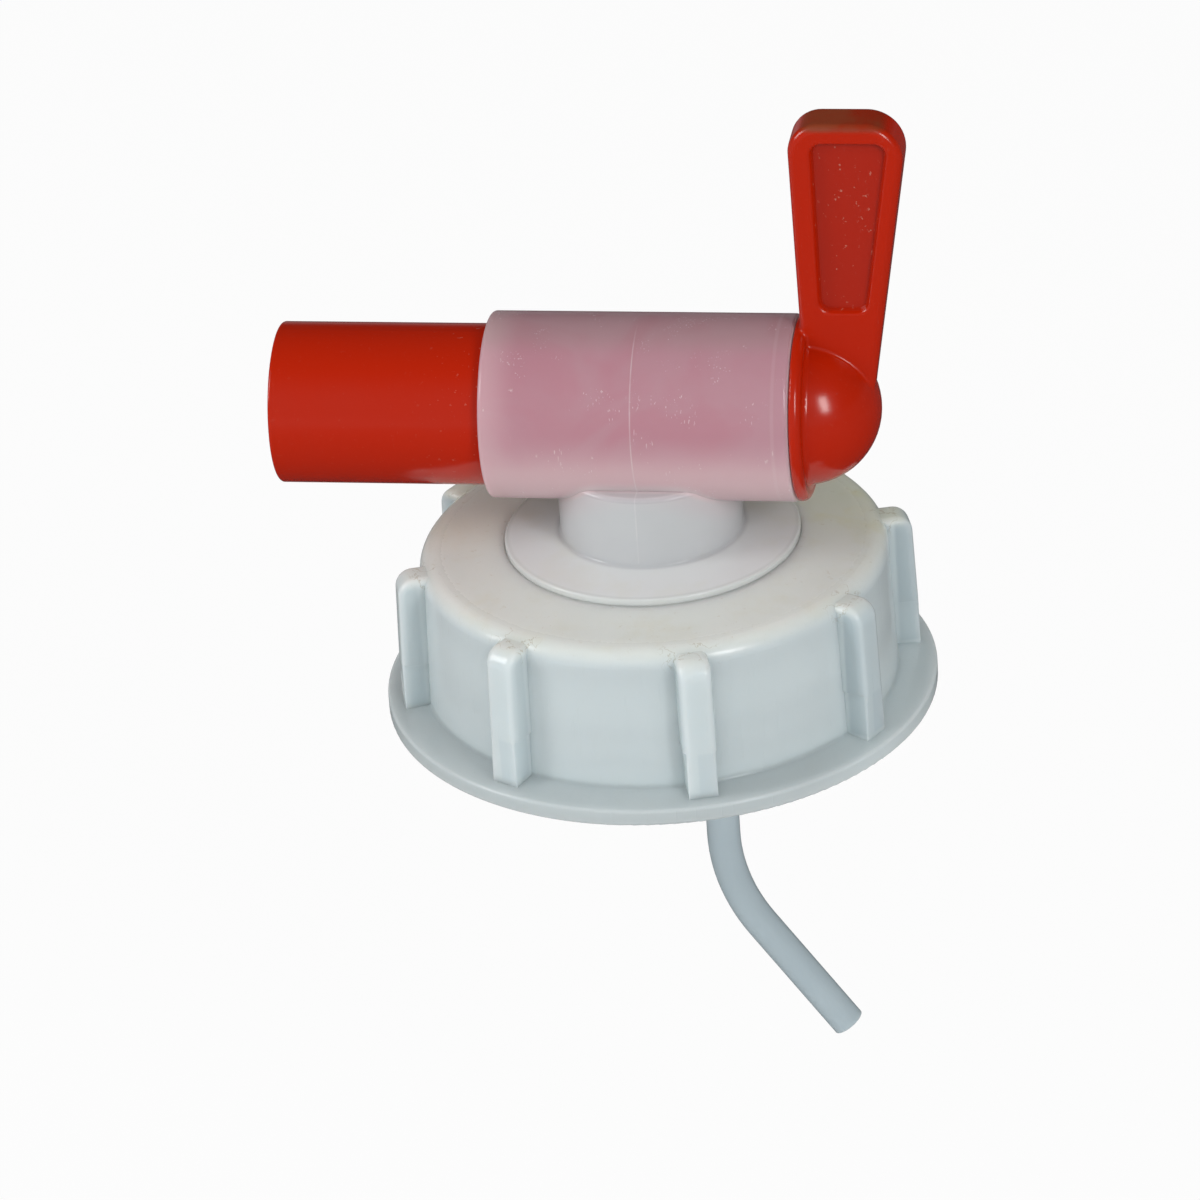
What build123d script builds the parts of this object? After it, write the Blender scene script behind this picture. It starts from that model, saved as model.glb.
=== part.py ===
"""Jerrycan tap: a screw cap for a 61 mm can neck, with a swivelling plug tap and a bent vent tube.

The barrel lies along X with its spout towards -X and its lever end towards +X.
Z is the axis of the cap, and the origin is the centre of the cap's mouth, in its bottom plane.
All sizes are in millimetres.
"""

import os
from math import cos, radians, sin, sqrt, tan

from build123d import *

# Screw cap
cap_height = 22.6
cap_crown = 1.0
cap_bore_radius = 30.2
cap_top_thickness = 2.3
cap_wall = 2.0
cap_wall_draft = 0.5
cap_shoulder_round = 2.4
rim_width = 5.3
rim_lip_height = 2.3
rim_slope_rise = 0.5
rim_edge_round = 0.4
rim_root_round = 0.4
retaining_bead_land = 0.5
retaining_bead_height = 1.6
retaining_bead_reach = 1.8

# Grip lugs round the cap
lug_count = 8
lug_first_angle = 17.0
lug_reach = 3.5
lug_draft = 0.6
lug_width = 4.55
lug_top_below_cap = 0.45
lug_top_round = 2.4
lug_side_round = 1.0
lug_step_height = 9.3
lug_step_inset = 0.3
lug_step_recess = 0.3

# Flange, raised disc and neck of the tap body
disc_radius = 20.0
disc_rise = 0.85
disc_cone_rise = 0.75
disc_edge_round = 0.3
flange_gap = 1.4
flange_thickness = 1.8
pocket_wall = 2.2
pocket_roof = 2.0
neck_radius = 12.35
neck_wall = 2.0
neck_root_round = 0.4
neck_height = 6.0
neck_ledge_height = 4.9
neck_ledge_round = 0.6

# Barrel of the tap body
barrel_wall = 1.49
barrel_spout_end = 20.5
barrel_lever_end = 21.0
barrel_edge_round = 0.6

# Ports between the neck and the plug, and the socket of the vent tube
flow_port_radius = 5.2
flow_port_offset = 3.6
vent_port_radius = 1.6
vent_offset = 7.0
vent_socket_wall = 1.4
vent_socket_depth = 8.5
vent_socket_roof = 1.3

# Spout, core, collar, flange and dome of the rotary plug
spout_radius = 10.835
spout_length = 28.65
plug_wall = 1.6
core_step = 0.165
core_stand_out = 0.5
spout_edge_round = 0.4
snap_ridge_inset = 4.5
snap_ridge_height = 0.45
snap_ridge_width = 1.2
collar_step = 0.55
collar_length = 2.1
plug_flange_setback = 0.1
plug_flange_thickness = 1.55
plug_flange_inner_round = 0.3
plug_flange_outer_round = 1.0
dome_radius = 10.3
dome_offset = 0.6
dome_root_round = 0.8
duct_wall = 1.1
duct_setback = 2.0

# Lever paddle of the rotary plug
lever_root_thickness = 3.42
lever_tip_thickness = 6.3
lever_setback = 0.5
lever_inner_lean = 0.4
lever_root_width = 9.25
lever_height = 42.8
lever_flare_angle = 8.9
lever_inner_corner = 4.2
lever_outer_corner = 5.0
lever_edge_round = 1.0
lever_root_round = 0.5

# Panel sunk in each face of the lever
panel_depth = 1.0
panel_margin = 2.5
panel_inner_margin = 2.9
panel_outer_margin = 2.1
panel_length = 25.2
panel_corner = 1.8
panel_edge_round = 0.35
panel_draft_angle = 25.0

# Gasket
gasket_inner_radius = 21.5
gasket_thickness = 2.0

# Vent tube
tube_radius = 2.3
tube_wall = 0.8
tube_bend_depth = 31.4
tube_bend_radius = 25.0
tube_bend_angle = 35.3
tube_tail_length = 27.5

# Clearances
turning_clearance = 0.06
swivel_clearance = 0.08
face_clearance = 0.05
gasket_clearance = 0.5

# Closeness within which an edge counts as lying at a size
edge_tolerance = 0.01

# Place of the middle of a quarter circle of radius one
arc_middle = sqrt(0.5)

# Heights and radii that follow from the sizes above
cap_ceiling = cap_height - cap_top_thickness
cap_wall_base_radius = cap_bore_radius + cap_wall
cap_hole_radius = disc_radius + swivel_clearance
cap_wall_top_radius = cap_wall_base_radius - cap_wall_draft
rim_radius = cap_wall_base_radius + rim_width
lug_radius = cap_wall_top_radius + lug_reach
disc_top = cap_height + cap_crown + disc_rise
core_radius = spout_radius + core_step
barrel_bore_radius = core_radius + turning_clearance
barrel_radius = barrel_bore_radius + barrel_wall
barrel_foot = disc_top + neck_height
barrel_axis_height = barrel_foot + barrel_radius
neck_ledge = barrel_foot + neck_ledge_height
flange_radius = cap_bore_radius - flange_gap
flange_top = cap_ceiling - face_clearance
flange_bottom = flange_top - flange_thickness
bead_top = flange_bottom - face_clearance
bead_bottom = bead_top - retaining_bead_height
pocket_radius = disc_radius - pocket_wall
neck_bore_radius = neck_radius - neck_wall
barrel_length = barrel_spout_end + barrel_lever_end
socket_radius = tube_radius + turning_clearance
socket_top = barrel_axis_height - barrel_bore_radius - vent_socket_roof
socket_bottom = socket_top - vent_socket_depth
snap_ridge_place = snap_ridge_inset - barrel_spout_end
core_start = -barrel_spout_end - core_stand_out
spout_end = -barrel_spout_end - spout_length
collar_radius = core_radius + collar_step
collar_start = barrel_lever_end - collar_length
plug_flange_start = barrel_lever_end + face_clearance
plug_flange_end = plug_flange_start + plug_flange_thickness
plug_flange_radius = barrel_radius - plug_flange_setback
lever_inner_place = plug_flange_start + lever_setback
dome_centre = plug_flange_start + dome_offset
plug_bore_radius = spout_radius - plug_wall
duct_radius = vent_port_radius + duct_wall
duct_offset = spout_radius - plug_wall / 2 - duct_radius

barrel_axis = Axis((0, 0, barrel_axis_height), (1, 0, 0))
barrel_side = Plane((0, 0, barrel_axis_height), x_dir=(1, 0, 0), z_dir=(0, -1, 0))


def across_barrel(place):
    """Plane across the barrel's axis, facing the lever end, at a place along X."""
    return Plane((place, 0, barrel_axis_height), x_dir=(0, 1, 0), z_dir=(1, 0, 0))


def circles(part, radius, lowest, highest):
    """Circular edges of one radius whose centres lie between two heights."""
    found = part.edges().filter_by(GeomType.CIRCLE)
    found = found.filter_by(lambda edge: abs(edge.radius - radius) < edge_tolerance)
    return found.filter_by(lambda edge: lowest < edge.arc_center.Z < highest)


# One grip lug, drawn on the +X side: rounded above, stepped in and crisp below
with BuildPart() as grip_lug:
    lug_root = (cap_bore_radius + cap_wall_top_radius) / 2
    lug_top = cap_height - lug_top_below_cap
    lug_foot = rim_lip_height / 2
    lug_crest_root = cap_wall_top_radius - cap_shoulder_round
    lug_crest_foot = cap_height - cap_shoulder_round / 2
    with BuildSketch(Plane.XZ):
        with BuildLine():
            Line((lug_root, lug_foot), (lug_radius + lug_draft, lug_foot))
            Line((lug_radius + lug_draft, lug_foot), (lug_radius, lug_top - lug_top_round))
            ThreePointArc(
                (lug_radius, lug_top - lug_top_round),
                (
                    lug_radius - lug_top_round * (1 - arc_middle),
                    lug_top - lug_top_round * (1 - arc_middle),
                ),
                (lug_radius - lug_top_round, lug_top),
            )
            Polyline(
                (lug_radius - lug_top_round, lug_top),
                (lug_crest_root, lug_top),
                (lug_root, lug_crest_foot),
                (lug_root, lug_foot),
            )
        make_face()
    extrude(amount=lug_width / 2, both=True)
    side_edges = grip_lug.faces().filter_by(Axis.Y).edges()
    side_edges = side_edges.filter_by(lambda edge: edge.center().X > lug_root + edge_tolerance)
    side_edges = side_edges.filter_by(lambda edge: edge.center().Z > lug_foot + edge_tolerance)
    fillet(side_edges, radius=lug_side_round)
    with BuildSketch(Plane.XY):
        Rectangle(3 * lug_radius, 2 * lug_width)
        Rectangle(
            2 * (lug_radius + lug_draft - lug_step_recess),
            lug_width - 2 * lug_step_inset,
            mode=Mode.SUBTRACT,
        )
    extrude(amount=lug_step_height, mode=Mode.SUBTRACT)

# Screw cap: drafted wall, sloping rim, and a crowned top with a hole for the tap's disc
with BuildPart() as screw_cap:
    with BuildSketch(Plane.XZ):
        with BuildLine():
            Polyline(
                (cap_bore_radius, bead_bottom),
                (cap_bore_radius, 0),
                (rim_radius, 0),
                (rim_radius, rim_lip_height),
                (cap_wall_base_radius, rim_lip_height + rim_slope_rise),
                (cap_wall_top_radius, cap_height),
                (cap_hole_radius, cap_height + cap_crown),
                (cap_hole_radius, cap_ceiling),
                (cap_bore_radius, cap_ceiling),
                (cap_bore_radius, bead_top),
                (cap_bore_radius - retaining_bead_reach, bead_top),
                (cap_bore_radius - retaining_bead_reach, bead_top - retaining_bead_land),
                (cap_bore_radius, bead_bottom),
            )
        make_face()
    revolve(axis=Axis.Z)
    fillet(
        circles(screw_cap, cap_wall_top_radius, cap_ceiling, cap_height + cap_crown),
        radius=cap_shoulder_round,
    )
    fillet(circles(screw_cap, cap_wall_base_radius, 0, cap_ceiling), radius=rim_root_round)
    fillet(circles(screw_cap, rim_radius, -rim_lip_height, cap_ceiling), radius=rim_edge_round)
    with PolarLocations(0, lug_count, start_angle=lug_first_angle):
        add(grip_lug.part)

# Tap body: one moulding from the hidden flange to the barrel
with BuildPart() as tap_body:
    with BuildSketch(Plane.XZ):
        with BuildLine():
            Polyline(
                (0, flange_bottom),
                (flange_radius, flange_bottom),
                (flange_radius, flange_top),
                (disc_radius, flange_top),
                (disc_radius, disc_top),
                (neck_radius, disc_top + disc_cone_rise),
                (neck_radius, neck_ledge),
                (0, neck_ledge),
                (0, flange_bottom),
            )
        make_face()
    revolve(axis=Axis.Z)
    fillet(
        circles(tap_body, disc_radius, cap_height, neck_ledge),
        radius=disc_edge_round,
    )
    fillet(
        circles(tap_body, neck_radius, cap_height, barrel_foot),
        radius=neck_root_round,
    )
    fillet(
        circles(tap_body, neck_radius, barrel_foot, barrel_axis_height),
        radius=neck_ledge_round,
    )
    # Moulding pocket under the disc, round the neck
    with BuildSketch(Plane.XY.offset(flange_bottom)):
        Circle(pocket_radius)
        Circle(neck_radius, mode=Mode.SUBTRACT)
    extrude(amount=disc_top - pocket_roof - flange_bottom, mode=Mode.SUBTRACT)
    # Liquid channel up the neck
    with BuildSketch(Plane.XY.offset(flange_bottom)):
        Circle(neck_bore_radius)
    extrude(amount=neck_ledge - neck_wall - flange_bottom, mode=Mode.SUBTRACT)
    # Barrel, whose wall closes the top of the neck
    with BuildSketch(across_barrel(-barrel_spout_end)):
        Circle(barrel_radius)
    extrude(amount=barrel_length)
    barrel_ends = tap_body.faces().filter_by(Axis.X).edges()
    fillet(barrel_ends.filter_by(GeomType.CIRCLE), radius=barrel_edge_round)
    # Socket for the vent tube, against the neck's wall
    with BuildSketch(Plane.XY.offset(socket_bottom)):
        with Locations((vent_offset, 0)):
            Circle(socket_radius + vent_socket_wall)
    extrude(amount=barrel_axis_height - socket_bottom)
    with BuildSketch(Plane.XY.offset(socket_bottom)):
        with Locations((vent_offset, 0)):
            Circle(socket_radius)
    extrude(amount=vent_socket_depth, mode=Mode.SUBTRACT)
    # Bore for the plug, with its snap groove and the seat of its collar
    with BuildSketch(across_barrel(-barrel_spout_end)):
        Circle(barrel_bore_radius)
    extrude(amount=barrel_length, mode=Mode.SUBTRACT)
    groove_width = snap_ridge_width + 2 * face_clearance
    with BuildSketch(across_barrel(snap_ridge_place - groove_width / 2)):
        Circle(barrel_bore_radius + snap_ridge_height)
    extrude(amount=groove_width, mode=Mode.SUBTRACT)
    with BuildSketch(across_barrel(collar_start - face_clearance)):
        Circle(collar_radius + turning_clearance)
    extrude(amount=collar_length + face_clearance, mode=Mode.SUBTRACT)
    # Ports through the wall between the neck and the plug
    with BuildSketch(Plane.XY.offset(socket_bottom)):
        with Locations((-flow_port_offset, 0)):
            Circle(flow_port_radius)
    extrude(amount=barrel_axis_height - socket_bottom, mode=Mode.SUBTRACT)
    with BuildSketch(Plane.XY.offset(socket_bottom)):
        with Locations((vent_offset, 0)):
            Circle(vent_port_radius)
    extrude(amount=barrel_axis_height - socket_bottom, mode=Mode.SUBTRACT)

# Lever paddle, flared towards its tip, with a shallow panel sunk in each face
with BuildPart() as lever_paddle:
    flare = tan(radians(lever_flare_angle))
    lever_tip_width = lever_root_width + flare * lever_height
    half_root = lever_root_thickness / 2
    half_tip = lever_tip_thickness / 2
    face_lean = (half_tip - half_root) / lever_height
    panel_inner = lever_inner_place + panel_inner_margin
    panel_top = lever_height - panel_margin
    panel_foot = panel_top - panel_length
    outer_line = lever_inner_place + lever_root_width - panel_outer_margin
    with BuildSketch(barrel_side) as lever_outline:
        with BuildLine():
            Polyline(
                (lever_inner_place + lever_inner_lean, 0),
                (lever_inner_place + lever_root_width, 0),
                (lever_inner_place + lever_tip_width, lever_height),
                (lever_inner_place, lever_height),
                (lever_inner_place + lever_inner_lean, 0),
            )
        make_face()
        tip_corners = lever_outline.vertices().group_by(Axis.Y)[-1].sort_by(Axis.X)
        fillet(tip_corners[0], radius=lever_inner_corner)
        tip_corners = lever_outline.vertices().group_by(Axis.X)[-1]
        fillet(tip_corners, radius=lever_outer_corner)
    extrude(amount=half_tip, both=True)
    with BuildSketch(across_barrel(0)):
        with BuildLine():
            Polyline(
                (-half_root, 0),
                (half_root, 0),
                (half_tip, lever_height),
                (-half_tip, lever_height),
                (-half_root, 0),
            )
        make_face()
    extrude(amount=lever_inner_place + lever_tip_width, mode=Mode.INTERSECT)
    broad_faces = lever_paddle.faces().sort_by(SortBy.AREA)[-2:]
    lever_foot = barrel_axis_height + edge_tolerance
    fillet(
        broad_faces.edges().filter_by(lambda edge: edge.center().Z > lever_foot),
        radius=lever_edge_round,
    )
    for side in (1, -1):
        face_plane = Plane(
            (0, -side * half_root, barrel_axis_height),
            x_dir=(1, 0, 0),
            z_dir=(0, -1, -side * face_lean),
        )
        with BuildSketch(face_plane) as panel_outline:
            with BuildLine():
                Polyline(
                    (panel_inner, panel_foot),
                    (outer_line + flare * panel_foot, panel_foot),
                    (outer_line + flare * panel_top, panel_top),
                    (panel_inner, panel_top),
                    (panel_inner, panel_foot),
                )
            make_face()
            fillet(panel_outline.vertices(), radius=panel_corner)
        extrude(amount=-side * panel_depth, taper=panel_draft_angle, mode=Mode.SUBTRACT)
    panel_faces = lever_paddle.faces().filter_by(
        lambda face: abs(face.normal_at().Y) > arc_middle and face.inner_wires()
    )
    panel_rims = [edge for face in panel_faces for edge in face.inner_wires()[0].edges()]
    fillet(panel_rims, radius=panel_edge_round)

# Rotary plug: spout, core, dome and lever in one moulding
with BuildPart() as rotary_plug:
    ridge_start = snap_ridge_place - snap_ridge_width / 2
    ridge_end = snap_ridge_place + snap_ridge_width / 2
    dome_tip = dome_centre + dome_radius
    dome_foot_radius = sqrt(dome_radius**2 - (plug_flange_end - dome_centre) ** 2)
    dome_slant = dome_radius * arc_middle
    with BuildSketch(barrel_side):
        with BuildLine():
            Polyline(
                (dome_tip, 0),
                (spout_end, 0),
                (spout_end, spout_radius),
                (core_start, spout_radius),
                (core_start, core_radius),
                (ridge_start, core_radius),
            )
            ThreePointArc(
                (ridge_start, core_radius),
                (snap_ridge_place, core_radius + snap_ridge_height),
                (ridge_end, core_radius),
            )
            Polyline(
                (ridge_end, core_radius),
                (collar_start, core_radius),
                (collar_start, collar_radius),
                (plug_flange_start, collar_radius),
                (plug_flange_start, plug_flange_radius),
                (plug_flange_end, plug_flange_radius),
                (plug_flange_end, dome_foot_radius),
            )
            ThreePointArc(
                (plug_flange_end, dome_foot_radius),
                (dome_centre + dome_slant, dome_slant),
                (dome_tip, 0),
            )
        make_face()
    revolve(axis=barrel_axis)
    flange_rims = circles(rotary_plug, plug_flange_radius, 0, 2 * barrel_axis_height)
    flange_rims = flange_rims.sort_by(Axis.X)
    fillet(flange_rims[0], radius=plug_flange_inner_round)
    fillet(flange_rims[-1], radius=plug_flange_outer_round)
    dome_root = circles(rotary_plug, dome_foot_radius, 0, 2 * barrel_axis_height)
    fillet(dome_root, radius=dome_root_round)
    add(lever_paddle.part)
    half_root_square = half_root**2 / (1 + face_lean**2)
    lever_foot_radius = sqrt(dome_radius**2 - half_root_square)
    lever_creases = circles(rotary_plug, lever_foot_radius, 0, 2 * barrel_axis_height)
    fillet(lever_creases, radius=lever_root_round)
    # Bore from the spout's mouth into the dome
    bore_end = dome_tip - plug_wall
    bore_round_start = bore_end - plug_bore_radius
    with BuildSketch(barrel_side):
        with BuildLine():
            Polyline(
                (bore_end, 0),
                (spout_end, 0),
                (spout_end, plug_bore_radius),
                (bore_round_start, plug_bore_radius),
            )
            ThreePointArc(
                (bore_round_start, plug_bore_radius),
                (
                    bore_round_start + plug_bore_radius * arc_middle,
                    plug_bore_radius * arc_middle,
                ),
                (bore_end, 0),
            )
        make_face()
    revolve(axis=barrel_axis, mode=Mode.SUBTRACT)
    # Air duct along the bore, and the branch that leads it across to the vent port
    duct_start = spout_end + duct_setback
    duct_run = vent_offset - duct_start
    with BuildSketch(across_barrel(duct_start)):
        with Locations((-duct_offset, 0)):
            Circle(duct_radius)
    extrude(amount=duct_run + duct_radius)
    branch_plane = Plane((vent_offset, -duct_offset, barrel_axis_height), z_dir=(0, 1, 0))
    branch_run = duct_offset + spout_radius
    with BuildSketch(branch_plane):
        Circle(duct_radius)
    extrude(amount=branch_run - plug_wall / 2)
    with BuildSketch(across_barrel(duct_start)):
        with Locations((-duct_offset, 0)):
            Circle(vent_port_radius)
    extrude(amount=duct_run + vent_port_radius, mode=Mode.SUBTRACT)
    with BuildSketch(branch_plane):
        Circle(vent_port_radius)
    extrude(amount=branch_run + plug_wall, mode=Mode.SUBTRACT)
    # Liquid port, a quarter turn from the neck while the lever stands up
    with BuildSketch(Plane((-flow_port_offset, 0, barrel_axis_height), z_dir=(0, 1, 0))):
        Circle(flow_port_radius)
    extrude(amount=barrel_radius, mode=Mode.SUBTRACT)
    mouth_edges = rotary_plug.faces().sort_by(Axis.X)[0].edges()
    fillet(mouth_edges, radius=spout_edge_round)

# Gasket: flat foam ring under the tap body's flange
with BuildPart() as gasket:
    with BuildSketch(Plane.XY.offset(flange_bottom)):
        Circle(cap_bore_radius - retaining_bead_reach - gasket_clearance)
        Circle(gasket_inner_radius, mode=Mode.SUBTRACT)
    extrude(amount=-gasket_thickness)

# Vent tube: straight down from its socket, then bent towards the lever's side
with BuildPart() as vent_tube:
    bend = radians(tube_bend_angle)
    with BuildLine(Plane.XZ):
        FilletPolyline(
            (vent_offset, socket_top),
            (vent_offset, -tube_bend_depth),
            (
                vent_offset + tube_tail_length * sin(bend),
                -tube_bend_depth - tube_tail_length * cos(bend),
            ),
            radius=tube_bend_radius,
        )
    with BuildSketch(Plane((vent_offset, 0, socket_top), z_dir=(0, 0, -1))):
        Circle(tube_radius)
        Circle(tube_radius - tube_wall, mode=Mode.SUBTRACT)
    sweep()

os.makedirs("parts", exist_ok=True)
screw_cap.part.label = "screw_cap"
export_step(screw_cap.part, "parts/screw_cap.step")
tap_body.part.label = "tap_body"
export_step(tap_body.part, "parts/tap_body.step")
rotary_plug.part.label = "rotary_plug"
export_step(rotary_plug.part, "parts/rotary_plug.step")
gasket.part.label = "gasket"
export_step(gasket.part, "parts/gasket.step")
vent_tube.part.label = "vent_tube"
export_step(vent_tube.part, "parts/vent_tube.step")
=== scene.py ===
"""Looks of a jerrycan tap: milky cap and barrel, glossy red plug, foam gasket and vent tube."""

from math import cos, pi, radians, sin

import bmesh
import bpy
from bpy.props import FloatProperty, FloatVectorProperty, PointerProperty
from mathutils import Matrix, Vector


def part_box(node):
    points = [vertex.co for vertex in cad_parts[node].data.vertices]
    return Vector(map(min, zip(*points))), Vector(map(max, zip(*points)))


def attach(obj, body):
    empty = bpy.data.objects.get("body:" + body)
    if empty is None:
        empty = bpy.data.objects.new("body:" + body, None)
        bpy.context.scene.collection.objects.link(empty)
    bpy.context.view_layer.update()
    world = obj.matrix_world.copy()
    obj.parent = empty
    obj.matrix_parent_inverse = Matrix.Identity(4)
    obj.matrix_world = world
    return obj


bl_info = {
    "name": "Jerrycan tap",
    "version": (1, 0, 0),
    "blender": (4, 5, 0),
    "location": "View3D > Sidebar > Tap",
    "description": "Finishes the pieces of a jerrycan tap and sets up its studio",
    "category": "Object",
}

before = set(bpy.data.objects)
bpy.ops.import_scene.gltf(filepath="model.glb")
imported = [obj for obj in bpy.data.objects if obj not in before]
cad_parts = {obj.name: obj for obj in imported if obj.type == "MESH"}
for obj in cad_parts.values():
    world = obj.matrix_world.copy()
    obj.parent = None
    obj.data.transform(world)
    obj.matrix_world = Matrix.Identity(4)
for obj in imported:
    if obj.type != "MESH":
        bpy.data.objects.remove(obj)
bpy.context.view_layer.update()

MM = 0.001

# Places on the tap that the finishes follow, from the cap's mouth and axis
CAP_BORE_RADIUS = 30.2 * MM
CAP_WALL_RADIUS = 32.3 * MM
CAP_SHOULDER_RADIUS = 31.5 * MM
CAP_TOP = 22.6 * MM
RIM_TOP = 2.8 * MM
DISC_RADIUS = 20.0 * MM
NECK_RADIUS = 12.35 * MM
NECK_FOOT = 25.2 * MM
NECK_LEDGE = 35.35 * MM
BARREL_FOOT = 30.45 * MM
BARREL_AXIS = 43.0 * MM
BARREL_RADIUS = 12.55 * MM
BARREL_SPOUT_END = -20.5 * MM
BARREL_LEVER_END = 21.0 * MM
COLLAR_START = 18.9 * MM
LEVER_TOP = 85.8 * MM

# Grip lugs: their number, the angle of the first and the sizes of one
LUG_COUNT = 8
LUG_FIRST_ANGLE = radians(17.0)
LUG_HALF_WIDTH = 2.28 * MM
LUG_STEP_HEIGHT = 9.3 * MM

# The lever's face and outer edge lean by these shares of the height over the barrel's axis
LEVER_HALF_ROOT = 1.71 * MM
LEVER_FACE_LEAN = 0.0336
LEVER_FLARE = 0.1566

# Edges of the panel sunk in the lever's face
PANEL_INNER = 24.5 * MM
PANEL_OUTER_ROOT = 28.75 * MM
PANEL_FOOT = 58.1 * MM
PANEL_TOP = 83.3 * MM

# Painted shade and light on the cap, and its stains and dirt
RIM_SHADE = (0.79, 0.78, 0.78, 1)
LUG_SIDE_SHADE = (0.85, 0.87, 0.88, 1)
LUG_RIGHT_SHADE = (0.80, 0.83, 0.85, 1)
STEP_SIDE_SHADE = (0.88, 0.90, 0.90, 1)
STEP_FACE_SHADE = (0.90, 0.92, 0.94, 1)
TOP_STAIN = (0.88, 0.82, 0.68, 1)
TOP_STAIN_AND_WARM_SHADE = (0.99, 0.97, 0.78, 1)
TOP_CREVICE_PAINTED_LIGHT = (0.84, 0.85, 0.80, 1)
TOP_BACK_PAINTED_LIGHT = (0.92, 0.92, 0.80, 1)
TOP_GRIME = (0.62, 0.52, 0.36, 1)
LUG_ROOT_DIRT = (0.55, 0.47, 0.35, 1)

# Painted shade and light on the tap body, and its stains and marks
BARREL_TOP_DUST_AND_SHADE = (0.90, 1.0, 0.94, 1)
DISC_STAIN_AND_WARM_SHADE = (0.95, 0.92, 0.80, 1)
DISC_EDGE_SHADE = (0.88, 0.89, 0.88, 1)
LEDGE_SHADE = (0.82, 0.80, 0.82, 1)
PALE_LINE = (0.80, 0.78, 0.78, 1)
BARREL_NICK = (0.85, 0.78, 0.80, 1)

# Painted shade on the plug, and its nicks, dust and smear
PANEL_SHADE = (0.87, 0.85, 0.85, 1)
PLUG_NICK = (0.60, 0.20, 0.16, 1)
PLUG_DUST = (0.62, 0.34, 0.26, 1)
LEVER_TOP_SHADE = (0.60, 0.80, 0.80, 1)
LEVER_TOP_SMEAR = (0.20, 0.075, 0.02, 1)

# Shades of the gasket and the vent tube, and painted light on the tube under the cap
FOAM_CLOUD = (0.66, 0.66, 0.62, 1)
FOAM_PORE = (0.72, 0.72, 0.70, 1)
TUBE_CLOUD = (0.40, 0.48, 0.52, 1)
TUBE_PAINTED_LIGHT = (0.70, 0.81, 0.86, 1)
TUBE_LINE = (0.80, 0.85, 0.88, 1)

# Lamps: name, azimuth and elevation in degrees, width and height in metres, power in watts
SOFTBOXES = (
    ("softbox_right", -48.0, 27.0, 0.16, 0.30, 1.7),
    ("softbox_left", -158.0, 28.0, 0.24, 0.40, 2.3),
)
SOFTBOX_DISTANCE = 0.8
SOFTBOX_TARGET = Vector((0, 0, 0.03))

# The room's light all round, what the broad light in front adds and where that one comes from
ROOM_LIGHT = 0.34
FRONT_LIGHT = 0.88
FRONT_LIGHT_FROM = (0.14, -0.98, 0.14)

# Share of the room's light that glossy surfaces don't mirror
UNMIRRORED = 0.95

WHITE = (1, 1, 1, 1)
FLOOR_REACH = 15.0

# The photograph's camera: tilt, turn round the cap and roll, and the cap's place in its frame
CAMERA_TILT = radians(29.0)
CAMERA_TURN = radians(-10.559)
CAMERA_ROLL = radians(4.229)
CAP_ASIDE = 8.6516 * MM
CAP_UPWARD = -11.5504 * MM


class Value:
    """A number or colour on a node's socket. Arithmetic on it adds Math nodes."""

    def __init__(self, finish, socket):
        self.finish = finish
        self.socket = socket

    def calculate(self, operation, *terms):
        sockets = dict(enumerate(terms))
        return self.finish.node("ShaderNodeMath", {"operation": operation}, sockets)

    def __add__(self, other):
        return self.calculate("ADD", self, other)

    __radd__ = __add__

    def __sub__(self, other):
        return self.calculate("SUBTRACT", self, other)

    def __rsub__(self, other):
        return self.calculate("SUBTRACT", other, self)

    def __mul__(self, other):
        return self.calculate("MULTIPLY", self, other)

    __rmul__ = __mul__

    def __truediv__(self, other):
        return self.calculate("DIVIDE", self, other)

    def __pow__(self, other):
        return self.calculate("POWER", self, other)

    def __abs__(self):
        return self.calculate("ABSOLUTE", self)

    def nearest(self):
        """The nearest whole number."""
        return self.calculate("ROUND", self)


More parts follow.
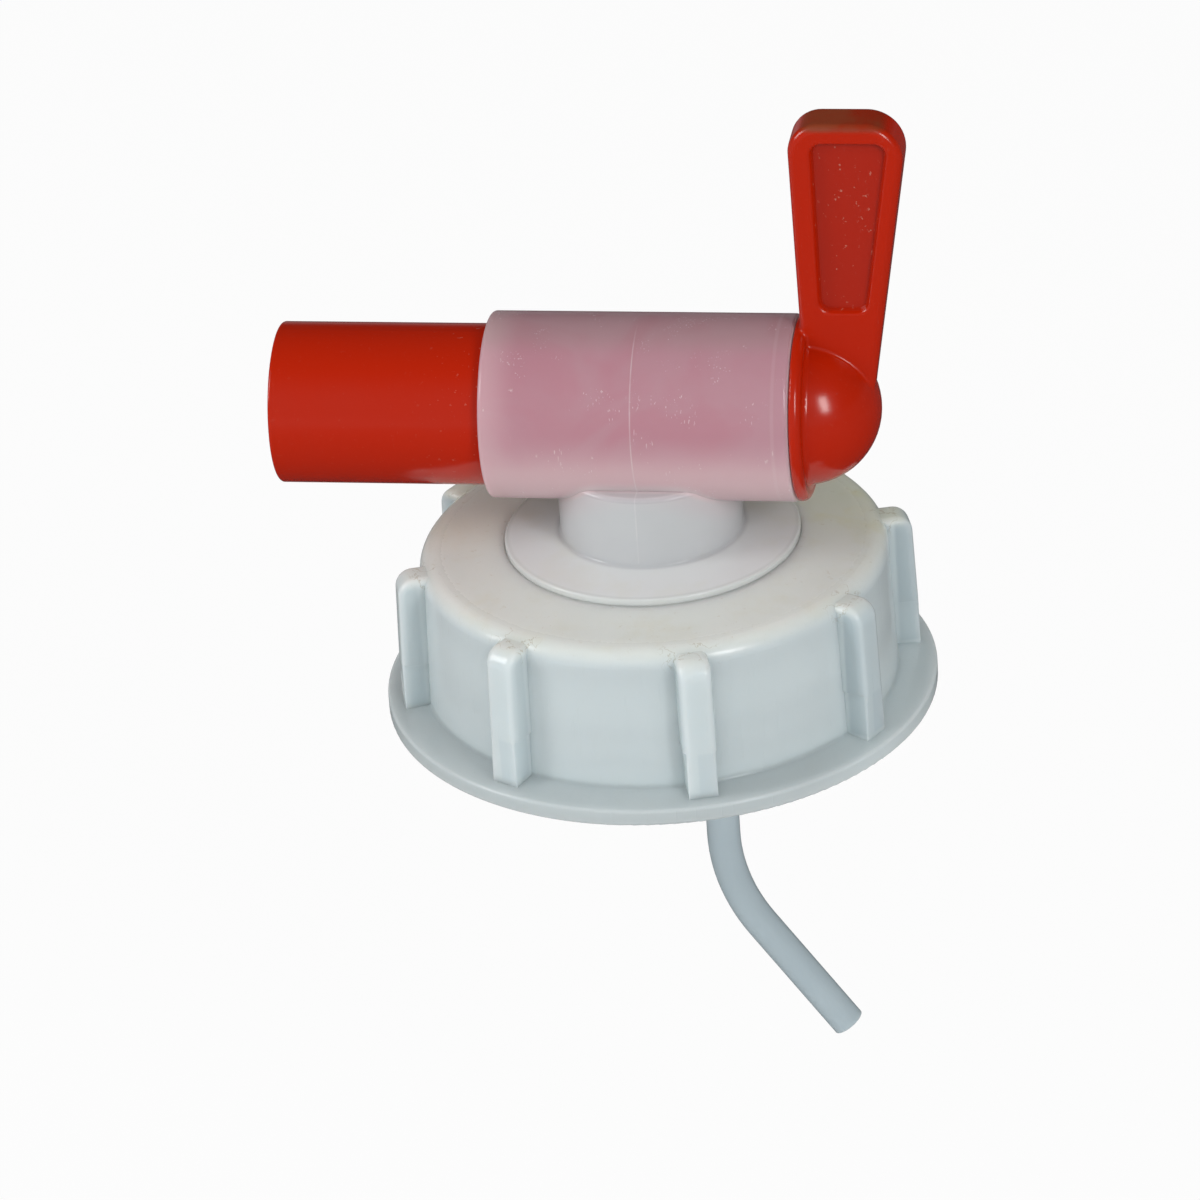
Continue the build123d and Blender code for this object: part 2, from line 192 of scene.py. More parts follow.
class Finish:
    """A node tree under construction, either a material's or the world's."""

    def __init__(self, tree):
        self.tree = tree
        tree.nodes.clear()

    def node(self, kind, settings=None, sockets=None, output=0):
        """Adds one node. Its settings come first, then the values or links of its sockets."""
        node = self.tree.nodes.new(kind)
        for name, value in (settings or {}).items():
            setattr(node, name, value)
        for name, value in (sockets or {}).items():
            if isinstance(value, Value):
                self.tree.links.new(value.socket, node.inputs[name])
            else:
                node.inputs[name].default_value = value
        return Value(self, node.outputs[output]) if node.outputs else None

    def place(self):
        """The point on the piece, in metres."""
        return self.node("ShaderNodeTexCoord", output="Object")

    def split(self, vector):
        """The three coordinates of a point."""
        parts = self.node("ShaderNodeSeparateXYZ", sockets={0: vector})
        outputs = parts.socket.node.outputs
        return [Value(self, output) for output in outputs]

    def ease(self, value, low, high):
        """Rises smoothly from 0 at low to 1 at high."""
        settings = {"interpolation_type": "SMOOTHSTEP"}
        sockets = {"Value": value, "From Min": low, "From Max": high}
        return self.node("ShaderNodeMapRange", settings, sockets)

    def band(self, value, centre, half_width, softness):
        """Is 1 within half a width of a centre, and fades to 0 over the softness."""
        return 1 - self.ease(abs(value - centre), half_width, half_width + softness)

    def stretch(self, place, scales, turn=(0, 0, 0)):
        """A turned point with its axes scaled, for streaked noise."""
        sockets = {"Vector": place, "Rotation": turn, "Scale": scales}
        return self.node("ShaderNodeMapping", sockets=sockets)

    def noise(self, place, scale, detail=3.0, roughness=0.5, distortion=0.0):
        sockets = {
            "Vector": place,
            "Scale": scale,
            "Detail": detail,
            "Roughness": roughness,
            "Distortion": distortion,
        }
        return self.node("ShaderNodeTexNoise", sockets=sockets)

    def mix(self, mask, first, second):
        """Goes from the first colour to the second as the mask goes from 0 to 1."""
        settings = {"data_type": "RGBA"}
        return self.node("ShaderNodeMix", settings, {0: mask, 6: first, 7: second}, output=2)

    def tint(self, mask, colour, tint):
        """Multiplies a colour by a tint where the mask is 1."""
        settings = {"data_type": "RGBA", "blend_type": "MULTIPLY"}
        return self.node("ShaderNodeMix", settings, {0: mask, 6: colour, 7: tint}, output=2)

    def scratches(self, place, along, across, turn, share):
        """Thin straight scratches: a share of the streaks of a stretched noise."""
        streaks = self.noise(self.stretch(place, (across, across, along), turn), 1.0, 1.0)
        return self.ease(streaks, 1 - share, 1 - share + 0.03)


class Plastic(Finish):
    """A moulded plastic's material, ready to be given to a piece."""

    def __init__(self, name):
        self.material = bpy.data.materials.new(name)
        self.material.use_nodes = True
        super().__init__(self.material.node_tree)

    def close(self, colour, roughness, height, relief, fixed):
        """Ends the tree: relief is the height's full range in metres."""
        bump = self.node(
            "ShaderNodeBump",
            sockets={"Strength": 1.0, "Distance": relief, "Height": height},
        )
        sockets = {"Base Color": colour, "Roughness": roughness, "Normal": bump}
        shader = self.node("ShaderNodeBsdfPrincipled", sockets=sockets | fixed)
        self.node("ShaderNodeOutputMaterial", sockets={"Surface": shader})
        return self.material


def opaque(colour):
    """A colour with full alpha, as sockets take it."""
    return (*colour[:3], 1.0)


def settings():
    """The sizes and colours that a user may change."""
    return bpy.context.scene.jerrycan_tap


def dress(node, material):
    """Gives a CAD node its finished material."""
    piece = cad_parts[node]
    for slot in piece.material_slots:
        slot.material = material
    if not piece.material_slots:
        piece.data.materials.append(material)


def new_piece(name, mesh, material, body):
    """Adds a piece that rides on a body."""
    for polygon in mesh.polygons:
        polygon.use_smooth = True
    piece = bpy.data.objects.new(name, mesh)
    bpy.context.scene.collection.objects.link(piece)
    mesh.materials.append(material)
    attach(piece, body)
    return piece


def milky_sockets(weight, reach):
    """Fixed sockets of a plastic that lets light into its wall."""
    return {
        "Subsurface Weight": weight,
        "Subsurface Radius": (1.0, 0.95, 0.9),
        "Subsurface Scale": reach,
        "Specular IOR Level": 0.45,
        "IOR": 1.5,
    }


def cap_plastic(look):
    """Natural polyethylene of the cap: bluish wall, paler lugs, warm and slightly dirty top,
    with painted shade on the lugs and the rim, and painted light and warm shade on the top.
    """
    f = Plastic("cap_plastic")
    place = f.place()
    x, y, z = f.split(place)
    radius = (x * x + y * y) ** 0.5
    cloud = f.noise(place, scale=90.0)
    fine = f.noise(place, scale=1400.0)

    # How far a point lies to the side of the nearest lug's middle
    sector = 2 * pi / LUG_COUNT
    turns = y.calculate("ARCTAN2", y, x) / sector - LUG_FIRST_ANGLE / sector
    sideways = (turns - turns.nearest()) * sector * radius
    off_middle = abs(sideways)

    # The wall, its lugs with their stepped feet, and the rim, with painted shade on the lugs'
    # sides, their stepped feet, the lugs to the right and the rim
    lugs = f.ease(radius, CAP_WALL_RADIUS + 0.1 * MM, CAP_WALL_RADIUS + 0.7 * MM)
    lugs = lugs * f.ease(z, RIM_TOP, RIM_TOP + 0.6 * MM)
    # painted shade: the lugs on the right side are darker
    right_lugs = lugs * f.ease(x, 16 * MM, 27 * MM)
    step = 1 - f.ease(z, LUG_STEP_HEIGHT - 0.5 * MM, LUG_STEP_HEIGHT + 0.1 * MM)
    # painted shade on the lugs' side faces and on the faces of their stepped feet
    side = lugs * f.ease(off_middle, LUG_HALF_WIDTH - 0.5 * MM, LUG_HALF_WIDTH)
    stepped_face = lugs * step * f.ease(sideways, -0.6 * MM, -0.3 * MM)
    # painted shade: the rim is darkened, less so towards the right side
    rim = 1 - f.ease(z, RIM_TOP - 0.4 * MM, RIM_TOP + 0.9 * MM)
    shaded_rim = rim * (0.88 - 0.65 * f.ease(x, 23 * MM, 33 * MM))
    colour = f.mix(cloud * 0.5, opaque(look.wall_colour), opaque(look.lug_colour))
    colour = f.mix(lugs * 0.8, colour, opaque(look.lug_colour))
    colour = f.tint(shaded_rim, colour, RIM_SHADE)
    colour = f.tint(right_lugs * 0.75, colour, LUG_RIGHT_SHADE)
    colour = f.tint(side, colour, LUG_SIDE_SHADE)
    colour = f.tint(step * side, colour, STEP_SIDE_SHADE)
    colour = f.tint(stepped_face * 0.6, colour, STEP_FACE_SHADE)

    # The top, stained and dirty, with a painted warm shade towards the back, and painted light
    # in the crevice round the disc and at the back left, where light comes through behind
    top = f.ease(z, CAP_TOP - 2.0 * MM, CAP_TOP + 0.4 * MM)
    # painted light: the crevice round the disc is made paler
    crevice = f.band(radius, DISC_RADIUS, 0.1 * MM, 1.6 * MM) * top
    back = f.ease(y, -6 * MM, 12 * MM)
    # painted light: the back left of the top is paler
    back_left = top * f.ease(y, -10 * MM, 8 * MM) * f.ease(x, -4 * MM, -22 * MM)
    stain = f.ease(f.noise(place, scale=130.0, detail=4.0, roughness=0.6), 0.48, 0.74)
    grime = f.ease(f.noise(place, scale=900.0, detail=4.0, roughness=0.7), 0.62, 0.72)
    colour = f.mix(top * (0.8 + 0.2 * cloud), colour, opaque(look.top_colour))
    colour = f.tint(top * stain * 0.30, colour, TOP_STAIN)
    # painted warm shade towards the back, under the barrel, mottled by the stain
    colour = f.tint(top * back * (0.6 + 0.4 * stain), colour, TOP_STAIN_AND_WARM_SHADE)
    colour = f.mix(crevice * 0.5, colour, TOP_CREVICE_PAINTED_LIGHT)
    colour = f.mix(back_left, colour, TOP_BACK_PAINTED_LIGHT)
    colour = f.tint(top * grime * 0.3, colour, TOP_GRIME)

    # Fine dirty lines where the lugs run into the shoulder
    near_lug = f.band(off_middle, 0.0, LUG_HALF_WIDTH, 2.5 * MM)
    on_shoulder = f.band(radius, CAP_SHOULDER_RADIUS, 1.2 * MM, 1.2 * MM)
    on_shoulder = on_shoulder * f.ease(z, CAP_TOP - 3.6 * MM, CAP_TOP - 1.1 * MM)
    veins = f.noise(place, scale=260.0, detail=4.0, roughness=0.6)
    hairline = f.band(veins, 0.5, 0.002, 0.010)
    colour = f.tint(near_lug * on_shoulder * hairline * 0.5, colour, LUG_ROOT_DIRT)

    marks = f.scratches(place, along=90.0, across=2600.0, turn=(0.4, 1.2, 0.3), share=0.33)
    towards_edge = f.ease(radius, CAP_BORE_RADIUS - 3.2 * MM, CAP_BORE_RADIUS - 0.2 * MM)
    flat_top = top * (1 - towards_edge)
    rough = look.natural_roughness + 0.05 * fine + 0.12 * flat_top
    height = 0.5 * cloud - 0.3 * marks
    return f.close(colour, rough, height, relief=0.04 * MM, fixed=milky_sockets(0.85, 5.0 * MM))


def body_plastic(look):
    """Natural polyethylene of the tap body, with the red core glowing through the barrel, and
    painted light and shade on the barrel, neck, disc and ledge.
    """
    f = Plastic("body_plastic")
    place = f.place()
    x, y, z = f.split(place)
    cloud = f.noise(place, scale=90.0)
    fine = f.noise(place, scale=1400.0)
    above_axis = z - BARREL_AXIS
    from_barrel_axis = (y * y + above_axis * above_axis) ** 0.5
    from_neck_axis = (x * x + y * y) ** 0.5
    off_barrel = f.ease(from_barrel_axis, BARREL_RADIUS + 0.1 * MM, BARREL_RADIUS + 0.8 * MM)
    on_barrel = 1 - off_barrel
    off_neck = f.ease(from_neck_axis, NECK_RADIUS - 1.0 * MM, NECK_RADIUS + 1.5 * MM)

    # The barrel: pink where the core shows, paler at its open end and deeper in blotches, with
    # painted light that makes it paler below and dust with a painted shade on its top
    # painted light: the barrel's underside is paler, as if lit from beneath
    low = 1 - f.ease(above_axis, -6.5 * MM, 2.5 * MM)
    # dust and painted shade on the barrel's top
    high = f.ease(above_axis, 10.6 * MM, 12.4 * MM)
    end_pale = f.band(x, BARREL_SPOUT_END, 0.6 * MM, 5.0 * MM)
    over_ledge = 1 - f.ease(z, NECK_LEDGE - 0.15 * MM, NECK_LEDGE + 2.25 * MM)
    blotch = f.ease(f.noise(place, scale=75.0, distortion=0.6), 0.42, 0.62)
    pink = f.mix(blotch * 0.5, opaque(look.barrel_colour), opaque(look.barrel_deep_colour))
    pink = f.mix(low, pink, opaque(look.barrel_low_colour))
    pink = f.mix(end_pale * 0.45, pink, opaque(look.barrel_low_colour))
    pink = f.tint(high, pink, BARREL_TOP_DUST_AND_SHADE)
    pink = f.mix(over_ledge * (1 - off_neck) * 0.55, pink, opaque(look.disc_colour))

    # The neck and the disc, stained round the neck's foot, with a painted warm shade towards the
    # back, and painted shade on the neck, the disc's edge and the neck's ledge
    near_disc = 1 - f.ease(z, NECK_FOOT - 0.2 * MM, NECK_FOOT + 2.3 * MM)
    on_disc = near_disc * f.ease(from_neck_axis, NECK_RADIUS, NECK_RADIUS + 1.0 * MM)
    disc_edge = f.ease(from_neck_axis, DISC_RADIUS - 0.9 * MM, DISC_RADIUS - 0.3 * MM)
    back = f.ease(y, -4 * MM, 10 * MM)
    stain = f.ease(f.noise(place, scale=150.0, detail=4.0, roughness=0.6), 0.45, 0.7)
    glow = f.band(from_barrel_axis, BARREL_RADIUS, 0.5 * MM, 3.0 * MM)
    at_ledge = f.band(z, NECK_LEDGE - 0.35 * MM, 0.15 * MM, 0.25 * MM) * (1 - off_neck)
    # painted shade: the neck is the disc's plastic made darker, shaded under the barrel
    colour = f.mix(cloud * 0.3, opaque(look.neck_shaded_colour), opaque(look.disc_colour))
    colour = f.mix(on_disc, colour, opaque(look.disc_colour))
    # stain, and a painted warm shade towards the back
    colour = f.tint(near_disc * (0.25 * stain + 0.5 * back), colour, DISC_STAIN_AND_WARM_SHADE)
    # painted shade on the disc's edge
    colour = f.tint(near_disc * disc_edge, colour, DISC_EDGE_SHADE)
    colour = f.mix(glow * 0.22, colour, opaque(look.barrel_low_colour))
    # painted shade on the neck's ledge
    colour = f.tint(at_ledge, colour, LEDGE_SHADE)

    # The core shows on the barrel, except low down over the neck
    clear_of_neck = f.ease(z, BARREL_FOOT + 1.05 * MM, BARREL_FOOT + 4.05 * MM)
    shows_core = on_barrel * (clear_of_neck + off_neck - clear_of_neck * off_neck)
    colour = f.mix(shows_core, colour, pink)

    # Pale lines over the plug's collar, at the barrel's end and along the mould's seam; the line
    # at the barrel's end is partly painted light
    collar_line = f.band(x, COLLAR_START, 0.10 * MM, 0.25 * MM)
    # partly painted light: the barrel's end edge is paler over the shade of the gap to the plug
    rim_line = f.ease(x, BARREL_LEVER_END - 0.3 * MM, BARREL_LEVER_END - 0.1 * MM)
    in_front = 1 - f.ease(y, -6 * MM, 0.0)
    seam = f.band(x, 0.0, 0.03 * MM, 0.11 * MM) * in_front
    seam = seam * f.ease(z, NECK_FOOT + 0.4 * MM, NECK_FOOT + 0.7 * MM)
    broken = f.ease(f.noise(place, scale=180.0, detail=2.0), 0.35, 0.6)
    seam = seam * (0.4 + 0.6 * broken)
    pale_lines = collar_line * on_barrel * 0.06 + rim_line * 0.30 + seam * 0.3
    colour = f.mix(pale_lines, colour, PALE_LINE)

    # Short nicks in a few scuffed places
    scuffs = f.ease(f.noise(place, scale=230.0, detail=2.0), 0.55, 0.63)
    nicks = f.scratches(place, along=500.0, across=3600.0, turn=(0.3, 0.2, 0.1), share=0.32)
    nicks = nicks + f.scratches(
        place, along=800.0, across=3000.0, turn=(1.1, 0.5, 0.4), share=0.31
    )
    nicks = nicks * scuffs * on_barrel
    colour = f.mix(nicks * 0.35, colour, BARREL_NICK)

    rough = look.natural_roughness + 0.05 * fine
    height = 0.5 * cloud + 0.35 * seam + 0.4 * nicks
    return f.close(colour, rough, height, relief=0.04 * MM, fixed=milky_sockets(0.5, 2.5 * MM))


def plug_plastic(look):
    """Glossy red plastic of the plug, with specks and a painted shade in the lever's panel, and
    a grimy tip darkened by painted shade.
    """
    f = Plastic("plug_plastic")
    place = f.place()
    x, y, z = f.split(place)
    cloud = f.noise(place, scale=110.0)
    fine = f.noise(place, scale=1600.0, detail=2.0)
    colour = f.mix(cloud * 0.5, opaque(look.plug_colour), opaque(look.plug_deep_colour))

    # The sunk panel lies deeper than the lever's leaned face
    above_axis = z - BARREL_AXIS
    face = LEVER_HALF_ROOT + above_axis * LEVER_FACE_LEAN
    panel_outer = PANEL_OUTER_ROOT + above_axis * LEVER_FLARE
    soft = 0.3 * MM
    panel = f.ease(face - abs(y), 0.25 * MM, 0.75 * MM)
    panel = panel * f.ease(x, PANEL_INNER - soft, PANEL_INNER + soft)
    panel = panel * f.ease(panel_outer - x, -soft, soft)
    panel = panel * f.ease(z, PANEL_FOOT - soft, PANEL_FOOT + soft)
    panel = panel * (1 - f.ease(z, PANEL_TOP - soft, PANEL_TOP + soft))
    # painted shade: the sunk panel is darker
    colour = f.tint(panel, colour, PANEL_SHADE)

    # Nicks all over, dust in the panel and by the barrel, and a painted shade and a smear on the
    # lever's top
    nicks = f.scratches(place, along=600.0, across=4200.0, turn=(0.9, 0.3, 0.2), share=0.25)
    nicks = nicks + f.scratches(
        place, along=700.0, across=3600.0, turn=(0.1, 1.4, 0.6), share=0.24
    )
    specks = f.ease(f.noise(place, scale=1500.0, roughness=0.6), 0.65, 0.70)
    near_barrel = f.band(x, BARREL_SPOUT_END, 1.0 * MM, 9.0 * MM)
    dust = specks * (0.05 + 0.35 * near_barrel + 0.8 * panel)
    lever_top = f.ease(z, LEVER_TOP - 1.2 * MM, LEVER_TOP - 0.3 * MM)
    patches = f.ease(f.noise(place, scale=160.0, detail=4.0, roughness=0.6), 0.30, 0.65)
    smear = lever_top * (0.3 + 0.7 * patches)
    colour = f.mix(nicks * 0.05, colour, PLUG_NICK)
    colour = f.mix(dust * 0.45, colour, PLUG_DUST)
    # painted shade: the lever's top is darker
    colour = f.tint(lever_top * 0.8, colour, LEVER_TOP_SHADE)
    colour = f.mix(smear * 0.45, colour, LEVER_TOP_SMEAR)

    rough = look.plug_roughness + 0.05 * cloud + 0.06 * nicks + 0.25 * smear + 0.12 * panel
    height = 0.15 * fine + 0.3 * cloud - 0.2 * nicks + 0.3 * specks * panel
    fixed = {"Specular IOR Level": 0.5, "IOR": 1.5}
    return f.close(colour, rough, height, relief=0.02 * MM, fixed=fixed)


def gasket_foam(look):
    """White closed-cell foam with fine open pores on its cut face."""
    f = Plastic("gasket_foam")
    place = f.place()
    cells = f.node("ShaderNodeTexVoronoi", sockets={"Vector": place, "Scale": 1700.0})
    pores = 1 - f.ease(cells, 0.10, 0.45)
    cloud = f.noise(place, scale=200.0)
    colour = f.mix(cloud * 0.4, opaque(look.foam_colour), FOAM_CLOUD)
    colour = f.tint(pores * 0.5, colour, FOAM_PORE)
    rough = 0.75 + 0.15 * cloud
    height = 0.3 * cloud - 0.8 * pores
    return f.close(colour, rough, height, relief=0.10 * MM, fixed=milky_sockets(0.3, 1.0 * MM))


def tube_plastic(look):
    """Milky drawn tube with faint lines along its length, made paler under the cap by painted
    light.
    """
    f = Plastic("tube_plastic")
    place = f.place()
    z = f.split(place)[2]
    cloud = f.noise(place, scale=120.0)
    lines = f.noise(f.stretch(place, (3200.0, 3200.0, 60.0)), scale=1.0, detail=2.0)
    under_cap = f.ease(z, -30 * MM, -5 * MM)
    colour = f.mix(cloud * 0.6, opaque(look.tube_colour), TUBE_CLOUD)
    # painted light: the tube is paler under the cap
    colour = f.mix(under_cap * 0.9, colour, TUBE_PAINTED_LIGHT)
    colour = f.tint(lines * 0.12, colour, TUBE_LINE)
    rough = look.natural_roughness - 0.05 + 0.12 * lines
    height = 0.5 * lines + 0.4 * cloud
    return f.close(colour, rough, height, relief=0.03 * MM, fixed=milky_sockets(0.5, 1.5 * MM))


def thread_ridge(look):
    """Mesh of one ridge that winds round the cap's bore, with tapering ends."""
    mesh = bmesh.new()
    steps_round = 96
    steps = int(steps_round * look.thread_turns)
    taper_steps = steps_round // 12
    half_root = look.thread_width / 2
    half_flank = half_root * 0.45
    half_crest = half_flank * 0.6
    rings = []
    for step in range(steps + 1):
        angle = 2 * pi * step / steps_round
        height = look.thread_start + look.thread_pitch * step / steps_round
        ease = min(1.0, step / taper_steps, (steps - step) / taper_steps)
        depth = look.thread_depth * ease
        root = CAP_BORE_RADIUS + 0.1 * MM
        flank = CAP_BORE_RADIUS - depth * 0.85
        crest = CAP_BORE_RADIUS - depth
        section = (
            (root, -half_root),
            (flank, -half_flank),
            (crest, -half_crest),
            (crest, half_crest),
            (flank, half_flank),
            (root, half_root),
        )
        rings.append(
            [
                mesh.verts.new((r * cos(angle), r * sin(angle), height + rise))
                for r, rise in section
            ]
        )
    for lower, upper in zip(rings, rings[1:]):
        for corner in range(len(lower)):
            following = (corner + 1) % len(lower)
            mesh.faces.new((lower[corner], lower[following], upper[following], upper[corner]))
    mesh.faces.new(rings[0])
    mesh.faces.new(list(reversed(rings[-1])))
    bmesh.ops.recalc_face_normals(mesh, faces=mesh.faces)
    ridge = bpy.data.meshes.new("thread_ridge")
    mesh.to_mesh(ridge)
    mesh.free()
    return ridge


def colour_setting(name, description, default):
    """A colour that a user may change."""
    return FloatVectorProperty(
        name=name, description=description, subtype="COLOR", default=default
    )


def length_setting(name, description, default):
    """A length that a user may change."""
    return FloatProperty(name=name, description=description, default=default, unit="LENGTH")


def roughness_setting(name, description, default):
    """A roughness that a user may change."""
    return FloatProperty(
        name=name, description=description, default=default, min=0.05, max=1.0
    )


class TapSettings(bpy.types.PropertyGroup):
    """Sizes and colours of the jerrycan tap that a user may change."""

    wall_colour: colour_setting(
        "Cap wall", "Colour of the cap's wall", (0.58, 0.65, 0.665)
    )
    lug_colour: colour_setting(
        "Grip lugs", "Paler colour of the cap's grip lugs", (0.62, 0.69, 0.705)
    )
    top_colour: colour_setting(
        "Cap top", "Warm colour of the cap's top", (0.76, 0.80, 0.745)
    )
    disc_colour: colour_setting(
        "Disc", "Colour of the disc under the neck", (0.71, 0.73, 0.73)
    )
    # The neck's colour is the disc's plastic with painted shade
    neck_shaded_colour: colour_setting(
        "Neck", "Colour of the neck", (0.515, 0.53, 0.545)
    )
    barrel_colour: colour_setting(
        "Barrel",
        "Colour of the barrel where the red core shows through its wall",
        (0.48, 0.265, 0.31),
    )
    barrel_deep_colour: colour_setting(
        "Barrel, deeper",
        "Deeper colour in blotches where the core touches the barrel's wall",
        (0.47, 0.205, 0.255),
    )
    # Paler colour used for the painted light on the barrel's underside and for its open end
    barrel_low_colour: colour_setting(
        "Barrel, low",
        "Paler colour of the barrel's underside and open end",
        (0.65, 0.45, 0.48),
    )
    plug_colour: colour_setting(
        "Plug", "Red of the plug, spout and lever", (0.47, 0.014, 0.0005)
    )
    plug_deep_colour: colour_setting(
        "Plug, deeper", "Deeper red that clouds the plug's colour", (0.43, 0.014, 0.0005)
    )
    foam_colour: colour_setting(
        "Gasket", "Colour of the foam gasket", (0.78, 0.78, 0.75)
    )
    tube_colour: colour_setting(
        "Tube", "Colour of the vent tube", (0.455, 0.532, 0.567)
    )
    natural_roughness: roughness_setting(
        "Natural roughness", "Roughness of the milky plastic", 0.20
    )
    plug_roughness: roughness_setting(
        "Plug roughness", "Roughness of the red plastic", 0.17
    )
    thread_start: length_setting(
        "Thread start", "Height at which the thread's ridge starts in the cap", 3.0 * MM
    )
    thread_pitch: length_setting(
        "Thread pitch", "Rise of the ridge in one turn", 4.0 * MM
    )
    thread_turns: FloatProperty(
        name="Thread turns",
        description="Length of the ridge in turns",
        default=2.5,
    )
    thread_depth: length_setting(
        "Thread depth", "How far the ridge stands out of the bore", 1.1 * MM
    )
    thread_width: length_setting(
        "Thread width", "Width of the ridge at its root", 2.3 * MM
    )
    floor_gap: length_setting(
        "Floor gap", "How far the floor lies below the vent tube", 45.0 * MM
    )
    camera_distance: length_setting(
        "Camera distance",
        "Distance from the camera to the cap's axis along its line of sight",
        964.58 * MM,
    )
    camera_lens: FloatProperty(
        name="Camera lens",
        description="Focal length of the camera",
        default=212.0,
        unit="CAMERA",
    )


class TAP_OT_cap(bpy.types.Operator):
    """Finish the screw cap and wind its thread's ridge"""

    bl_idname = "tap.cap"
    bl_label = "Screw cap"

    def execute(self, context):
        look = settings()
        material = cap_plastic(look)
        dress("screw_cap", material)
        new_piece("cap_thread", thread_ridge(look), material, "cap")
        return {"FINISHED"}


class TAP_OT_body(bpy.types.Operator):
    """Finish the tap body: disc, neck and barrel"""

    bl_idname = "tap.body"
    bl_label = "Tap body"

    def execute(self, context):
        dress("tap_body", body_plastic(settings()))
        return {"FINISHED"}


class TAP_OT_plug(bpy.types.Operator):
    """Finish the rotary plug: spout, dome and lever"""

    bl_idname = "tap.plug"
    bl_label = "Rotary plug"

    def execute(self, context):
        dress("rotary_plug", plug_plastic(settings()))
        return {"FINISHED"}


class TAP_OT_gasket(bpy.types.Operator):
    """Finish the foam gasket"""

    bl_idname = "tap.gasket"
    bl_label = "Gasket"

    def execute(self, context):
        dress("gasket", gasket_foam(settings()))
        return {"FINISHED"}


class TAP_OT_tube(bpy.types.Operator):
    """Finish the vent tube"""

    bl_idname = "tap.tube"
    bl_label = "Vent tube"

    def execute(self, context):
        dress("vent_tube", tube_plastic(settings()))
        return {"FINISHED"}


def softbox(name, azimuth, elevation, width, height, power):
    """A rectangular lamp that faces the tap's neck. Its angles are in degrees."""
    lamp = bpy.data.lights.new(name, "AREA")
    lamp.shape = "RECTANGLE"
    lamp.size = width
    lamp.size_y = height
    lamp.energy = power
    lamp_object = bpy.data.objects.new(name, lamp)
    bpy.context.scene.collection.objects.link(lamp_object)
    azimuth = radians(azimuth)
    elevation = radians(elevation)
    direction = Vector(
        (cos(elevation) * cos(azimuth), cos(elevation) * sin(azimuth), sin(elevation))
    )
    lamp_object.location = SOFTBOX_TARGET + SOFTBOX_DISTANCE * direction
    lamp_object.rotation_euler = direction.to_track_quat("Z", "Y").to_euler()


def ray_kinds(f):
    """Is 1 for rays of the camera or through a clear wall, and 1 for rays of a mirror."""
    path = f.node("ShaderNodeLightPath").socket.node
    camera = Value(f, path.outputs["Is Camera Ray"])
    through = Value(f, path.outputs["Is Transmission Ray"])
    mirrored = Value(f, path.outputs["Is Glossy Ray"])
    return camera + through, mirrored


def light_world():
    """White backdrop in a dim room, with a broad soft light low in front."""
    world = bpy.data.worlds.new("studio")
    world.use_nodes = True
    bpy.context.scene.world = world
    f = Finish(world.node_tree)
    direction = f.node("ShaderNodeTexCoord", output="Generated")
    x, y, z = f.split(direction)
    straight, mirrored = ray_kinds(f)
    from_x, from_y, from_z = FRONT_LIGHT_FROM
    front = f.ease(from_x * x + from_y * y + from_z * z, 0.40, 0.95)
    light = (ROOM_LIGHT + FRONT_LIGHT * front) * (1 - UNMIRRORED * mirrored)
    backdrop = 0.10 * (1 - f.ease(z, 0.0, 0.2))
    lit = f.node("ShaderNodeBackground", sockets={"Color": WHITE, "Strength": light})
    shown = f.node("ShaderNodeBackground", sockets={"Color": WHITE, "Strength": 1.0})
    share = straight + mirrored * backdrop
    both = f.node("ShaderNodeMixShader", sockets={0: share, 1: lit, 2: shown})
    f.node("ShaderNodeOutputWorld", sockets={"Surface": both})


def floor_finish():
    """Pale floor that reads as white and keeps a soft shadow."""
    material = bpy.data.materials.new("floor")
    material.use_nodes = True
    f = Finish(material.node_tree)
    x, y, _ = f.split(f.place())
    straight, mirrored = ray_kinds(f)
    away = f.ease((x * x + y * y) ** 0.5, 0.15, 0.60)
    lit_side = f.ease(x, -0.10, -0.35)
    matte = f.node("ShaderNodeBsdfDiffuse", sockets={"Color": (0.80, 0.80, 0.80, 1)})
    dim = f.node("ShaderNodeBsdfDiffuse", sockets={"Color": (0.06, 0.06, 0.06, 1)})
    white = f.node("ShaderNodeEmission", sockets={"Color": WHITE, "Strength": 1.0})
    lit = f.node("ShaderNodeMixShader", sockets={0: mirrored, 1: matte, 2: dim})
    share = straight * 0.94 + mirrored * (0.04 * away + 0.18 * lit_side)
    both = f.node("ShaderNodeMixShader", sockets={0: share, 1: lit, 2: white})
    f.node("ShaderNodeOutputMaterial", sockets={"Surface": both})
    return material


def lay_floor(look):
    """A wide floor under the vent tube."""
    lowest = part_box("vent_tube")[0][2]
    height = lowest - look.floor_gap
    signs = ((-1, -1), (1, -1), (1, 1), (-1, 1))
    corners = [(FLOOR_REACH * x, FLOOR_REACH * y, height) for x, y in signs]
    mesh = bpy.data.meshes.new("floor")
    mesh.from_pydata(corners, [], [(0, 1, 2, 3)])
    mesh.materials.append(floor_finish())
    floor = bpy.data.objects.new("floor", mesh)
    bpy.context.scene.collection.objects.link(floor)


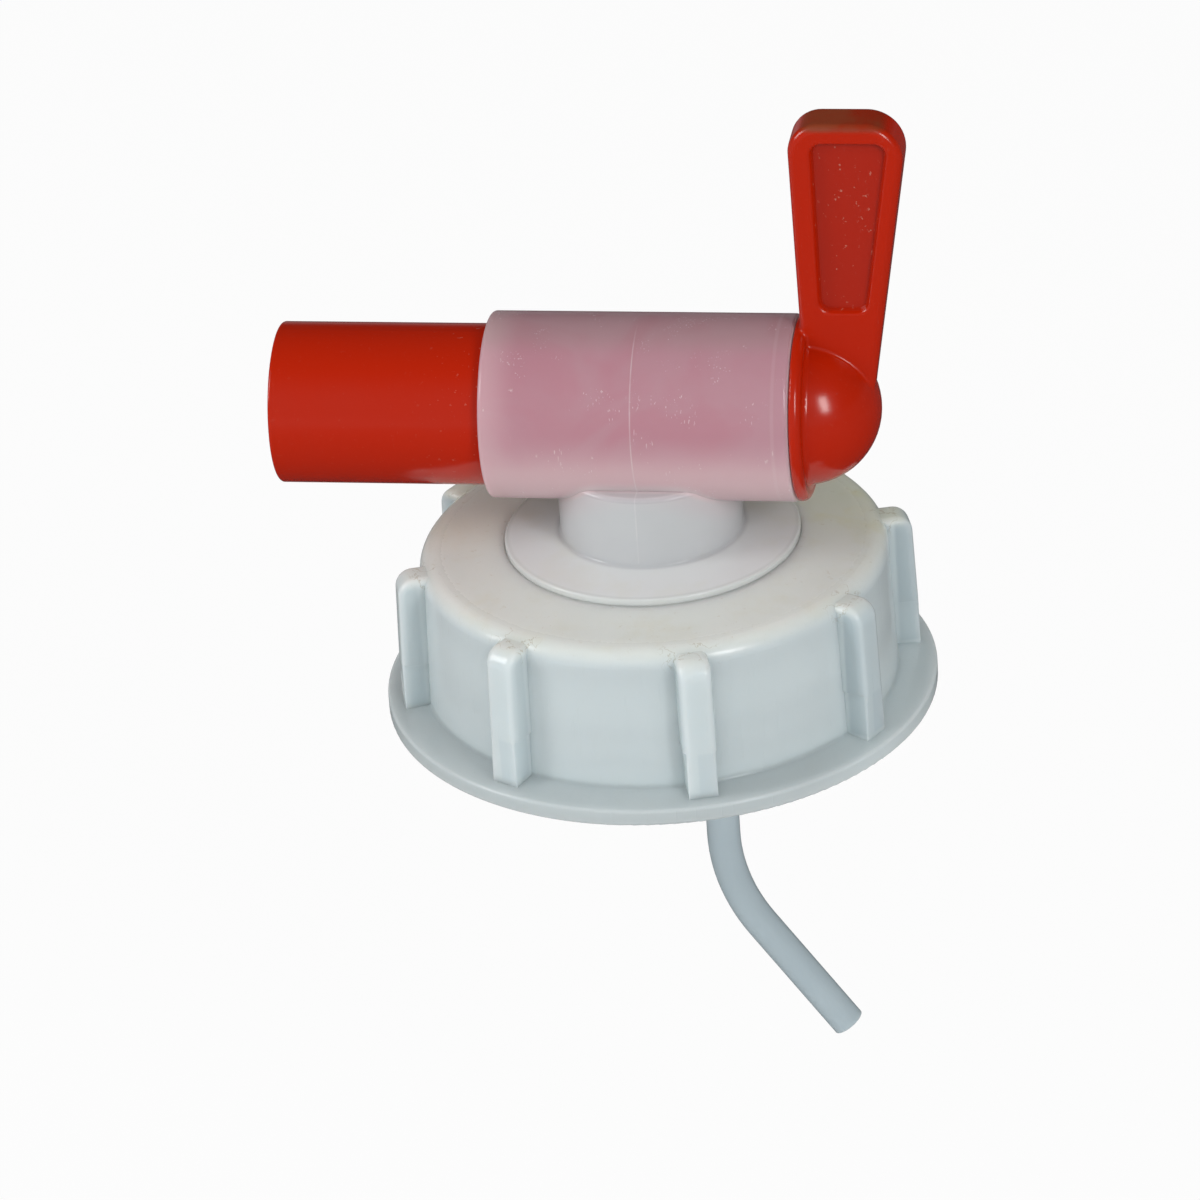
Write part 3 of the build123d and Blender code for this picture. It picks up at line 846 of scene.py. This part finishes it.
def photo_camera(look):
    """Camera at the photograph's place, set by its tilt, its turn round the cap and its roll."""
    round_cap = Matrix.Rotation(CAMERA_TURN, 3, "Z")
    look_down = Matrix(
        (
            (1, 0, 0),
            (0, sin(CAMERA_TILT), cos(CAMERA_TILT)),
            (0, cos(CAMERA_TILT), -sin(CAMERA_TILT)),
        )
    )
    rolled = Matrix.Rotation(CAMERA_ROLL, 3, "Z")
    view = rolled @ look_down @ round_cap
    right, up, forward = view
    centre = view.transposed() @ Vector((-CAP_ASIDE, -CAP_UPWARD, -look.camera_distance))
    pose = Matrix((right, up, -forward)).transposed().to_4x4()
    pose.translation = centre
    camera = bpy.data.cameras.new("camera")
    camera.lens = look.camera_lens
    camera.sensor_width = 36.0
    camera.clip_end = 100.0
    camera_object = bpy.data.objects.new("camera", camera)
    bpy.context.scene.collection.objects.link(camera_object)
    camera_object.matrix_world = pose
    bpy.context.scene.camera = camera_object


class TAP_OT_stage(bpy.types.Operator):
    """Lay the floor, place the lamps and the camera"""

    bl_idname = "tap.stage"
    bl_label = "Stage"

    def execute(self, context):
        look = settings()
        lay_floor(look)
        for lamp in SOFTBOXES:
            softbox(*lamp)
        light_world()
        photo_camera(look)
        context.scene.view_settings.view_transform = "Standard"
        return {"FINISHED"}


class TAP_PT_panel(bpy.types.Panel):
    """Lists the tap's pieces and its stage"""

    bl_idname = "TAP_PT_panel"
    bl_label = "Jerrycan tap"
    bl_space_type = "VIEW_3D"
    bl_region_type = "UI"
    bl_category = "Tap"

    def draw(self, context):
        for operator in OPERATORS:
            self.layout.operator(operator.bl_idname)
        for name in TapSettings.__annotations__:
            self.layout.prop(context.scene.jerrycan_tap, name)


OPERATORS = (TAP_OT_cap, TAP_OT_body, TAP_OT_plug, TAP_OT_gasket, TAP_OT_tube, TAP_OT_stage)
CLASSES = (TapSettings, *OPERATORS, TAP_PT_panel)


def register():
    for item in CLASSES:
        bpy.utils.register_class(item)
    bpy.types.Scene.jerrycan_tap = PointerProperty(type=TapSettings)


def unregister():
    del bpy.types.Scene.jerrycan_tap
    for item in reversed(CLASSES):
        bpy.utils.unregister_class(item)


def main():
    register()
    bpy.ops.tap.cap()
    bpy.ops.tap.body()
    bpy.ops.tap.plug()
    bpy.ops.tap.gasket()
    bpy.ops.tap.tube()
    bpy.ops.tap.stage()


if __name__ == "__main__":
    main()
